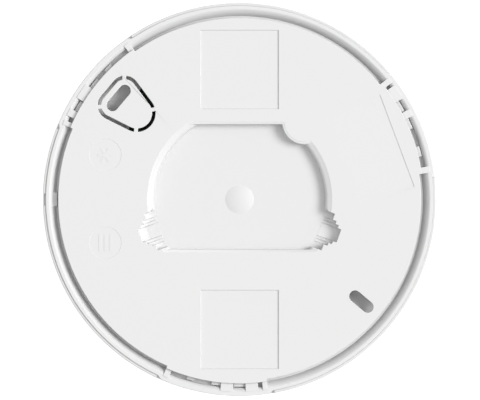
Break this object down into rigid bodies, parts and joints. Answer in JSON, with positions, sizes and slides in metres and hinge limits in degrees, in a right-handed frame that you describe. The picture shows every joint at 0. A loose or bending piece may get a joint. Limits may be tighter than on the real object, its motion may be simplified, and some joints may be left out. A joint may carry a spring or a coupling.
{
  "type": "smoke detector",
  "caption": "Round white ceiling smoke detector with a keyed bayonet mounting bracket, tear-off tamper tab, flush smoke inlet and front test button.",
  "frame": {"origin": "centre of the flat front face that the detector lies on", "axes": "+Z from the front face towards the back of the mounting bracket, along the body's round axis; +X to the right and +Y up when the back is seen"},
  "size_m": [0.132, 0.132, 0.031],
  "materials": {
    "white_plastic": "fine satin moulded ABS, white",
    "satin_white": "smooth satin moulded ABS, white",
    "black_plastic": "matt black moulded plastic",
    "black_component": "moulded component case",
    "clear_plastic": "milky translucent plastic",
    "dark_lens": "daylight-blocking dark lens",
    "screen_steel": "fine woven stainless mesh",
    "tinned_steel": "zinc or tin plated",
    "spring_steel": "drawn spring wire",
    "brass": "bright sheet brass",
    "circuit_board": "green solder mask",
    "flex_film": "amber polyimide film",
    "cell_sleeve": "plain shrink sleeve",
    "foam": "closed-cell foam"
  },
  "bodies": {
    "housing": {"antenna_1": "brass", "antenna_2": "brass", "battery_cell_1": "cell_sleeve", "battery_cell_2": "cell_sleeve", "battery_tab_1": "tinned_steel", "battery_tab_2": "tinned_steel", "battery_tab_3": "tinned_steel", "battery_tab_4": "tinned_steel", "board_screw_1": "tinned_steel", "board_screw_2": "tinned_steel", "board_screw_3": "tinned_steel", "button_board": "circuit_board", "button_ribbon": "flex_film", "button_spring": "spring_steel", "capacitor_1": "black_component", "capacitor_2": "black_component", "case_screw_1": "tinned_steel", "case_screw_2": "tinned_steel", "case_screw_3": "tinned_steel", "case_screw_4": "tinned_steel", "chamber_base": "black_plastic", "chamber_cover": "black_plastic", "front_cap": "satin_white", "front_cover": "satin_white", "inductor": "black_component", "inlet_grille": "white_plastic", "insect_screen": "screen_steel", "ir_emitter": "clear_plastic", "light_ring": "clear_plastic", "main_board": "circuit_board", "microcontroller": "black_component", "photodiode": "dark_lens", "piezo_disc": "brass", "radio_module": "circuit_board", "radio_shield": "tinned_steel", "rear_case": "white_plastic", "sounder_contact_1": "spring_steel", "sounder_contact_2": "spring_steel", "sounder_gasket": "foam", "sounder_housing": "black_plastic", "status_led_1": "clear_plastic", "status_led_2": "clear_plastic", "status_led_3": "clear_plastic", "tamper_spring": "spring_steel", "tamper_switch": "black_plastic", "test_switch": "black_component"},
    "bracket": {"mounting_bracket": "white_plastic"},
    "button": {"test_button": "satin_white"},
    "plunger": {"tamper_plunger": "black_plastic"}
  },
  "joints": [
    {"name": "bracket_twist", "type": "hinge", "parent": "housing", "child": "bracket", "pos_m": [0, 0, 0.031], "axis": [0, 0, 1], "range_deg": [-3, 0]},
    {"name": "test_button_press", "type": "slide", "parent": "housing", "child": "button", "axis": [0, 0, 1], "range_m": [0, 0.0007], "stiffness_N_per_m": 600, "springref_m": -0.0008, "deforming": ["button_spring"]},
    {"name": "tamper_plunger_press", "type": "slide", "parent": "housing", "child": "plunger", "axis": [0, 0, 1], "range_m": [-0.0008, 0], "stiffness_N_per_m": 400, "springref_m": 0.001, "deforming": ["tamper_spring"]}
  ]
}
